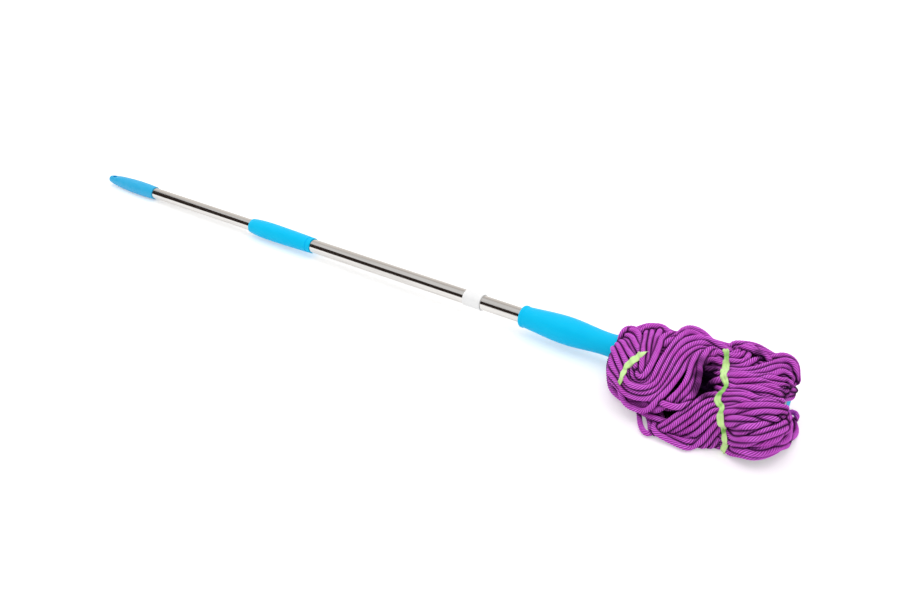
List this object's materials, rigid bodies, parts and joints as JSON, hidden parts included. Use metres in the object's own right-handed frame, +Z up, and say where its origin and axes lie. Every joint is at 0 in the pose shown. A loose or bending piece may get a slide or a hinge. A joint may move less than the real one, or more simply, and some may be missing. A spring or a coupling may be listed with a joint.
{
  "type": "microfiber twist mop",
  "caption": "Self-wringing mop lying on the floor: telescopic steel pole, blue grips, a sleeve that slides and twists, and a purple corded yarn head tied by green ribbons.",
  "frame": {"origin": "on the floor under the middle of the lying mop's bounding box", "axes": "+X along the mop from the hanging cap to the yarn head, +Z up from the floor, -Y towards the side on which more of the yarn lies"},
  "size_m": [1.3138, 0.1804, 0.0786],
  "materials": {
    "blue_plastic": "satin moulded",
    "polished_steel": "polished",
    "white_plastic": "satin moulded",
    "inner_plastic": "moulded",
    "screw_steel": "zinc plated",
    "purple_yarn": "twisted microfibre cord",
    "green_ribbon": "woven ribbon"
  },
  "bodies": {
    "lower_pole": {"lower_tube": "polished_steel", "guide_bush": "inner_plastic", "mid_grip": "blue_plastic", "stop_collar": "white_plastic", "end_plug": "inner_plastic", "plug_rivet": "screw_steel", "bottom_plate": "blue_plastic", "lower_clamp_ring": "inner_plastic", "plate_screws": "screw_steel", "bottom_washer": "screw_steel", "bottom_screw": "screw_steel", "lower_yarn_01": "purple_yarn", "lower_yarn_02": "purple_yarn", "lower_yarn_03": "purple_yarn", "lower_yarn_04": "purple_yarn", "lower_yarn_05": "purple_yarn", "lower_yarn_06": "purple_yarn", "lower_yarn_07": "purple_yarn", "lower_yarn_08": "purple_yarn", "lower_yarn_09": "purple_yarn", "lower_yarn_10": "purple_yarn", "lower_yarn_11": "purple_yarn", "lower_yarn_12": "purple_yarn"},
    "lock_expander": {"lock_collet": "inner_plastic"},
    "upper_pole": {"upper_tube": "polished_steel", "hang_cap": "blue_plastic", "lock_plug": "inner_plastic", "lock_stop_washer": "screw_steel", "lock_stop_screw": "screw_steel"},
    "lock_nut": {"lock_cone": "inner_plastic"},
    "wring_carriage": {"top_bush": "inner_plastic", "bottom_bush": "inner_plastic", "ribbon_2": "green_ribbon"},
    "wringer": {"wringer_sleeve": "blue_plastic", "yarn_collar": "blue_plastic", "upper_clamp_ring": "inner_plastic", "collar_screws": "screw_steel", "ribbon_1": "green_ribbon", "upper_yarn_01": "purple_yarn", "upper_yarn_02": "purple_yarn", "upper_yarn_03": "purple_yarn", "upper_yarn_04": "purple_yarn", "upper_yarn_05": "purple_yarn", "upper_yarn_06": "purple_yarn", "upper_yarn_07": "purple_yarn", "upper_yarn_08": "purple_yarn", "upper_yarn_09": "purple_yarn", "upper_yarn_10": "purple_yarn", "upper_yarn_11": "purple_yarn", "upper_yarn_12": "purple_yarn"}
  },
  "joints": [
    {"name": "telescope", "type": "slide", "parent": "lower_pole", "child": "lock_expander", "axis": [0.9998, 0, 0.0183], "range_m": [0, 0.225]},
    {"name": "twist_lock", "type": "hinge", "parent": "lock_expander", "child": "upper_pole", "pos_m": [-0.16194, 0.02436, 0.0197], "axis": [0.9998, 0, 0.0183], "range_deg": [0, 180]},
    {"name": "lock_nut_slide", "type": "slide", "parent": "lock_expander", "child": "lock_nut", "axis": [0.9998, 0, 0.0183], "range_m": [0, 0.00135]},
    {"name": "wring_slide", "type": "slide", "parent": "lower_pole", "child": "wring_carriage", "axis": [-0.9998, 0, -0.0183], "range_m": [0, 0.069], "deforming": ["lower_yarn_01", "lower_yarn_02", "lower_yarn_03", "lower_yarn_04", "lower_yarn_05", "lower_yarn_06", "lower_yarn_07", "lower_yarn_08", "lower_yarn_09", "lower_yarn_10", "lower_yarn_11", "lower_yarn_12"]},
    {"name": "wring_twist", "type": "hinge", "parent": "wring_carriage", "child": "wringer", "pos_m": [0.38627, 0.02436, 0.02973], "axis": [-0.9998, 0, -0.0183], "range_deg": [0, 400], "deforming": ["upper_yarn_01", "upper_yarn_02", "upper_yarn_03", "upper_yarn_04", "upper_yarn_05", "upper_yarn_06", "upper_yarn_07", "upper_yarn_08", "upper_yarn_09", "upper_yarn_10", "upper_yarn_11", "upper_yarn_12", "ribbon_1"]}
  ],
  "couplings": [
    {"joint": "lock_nut_slide", "follows": "twist_lock", "m_per_rad": 0.00039789}
  ]
}
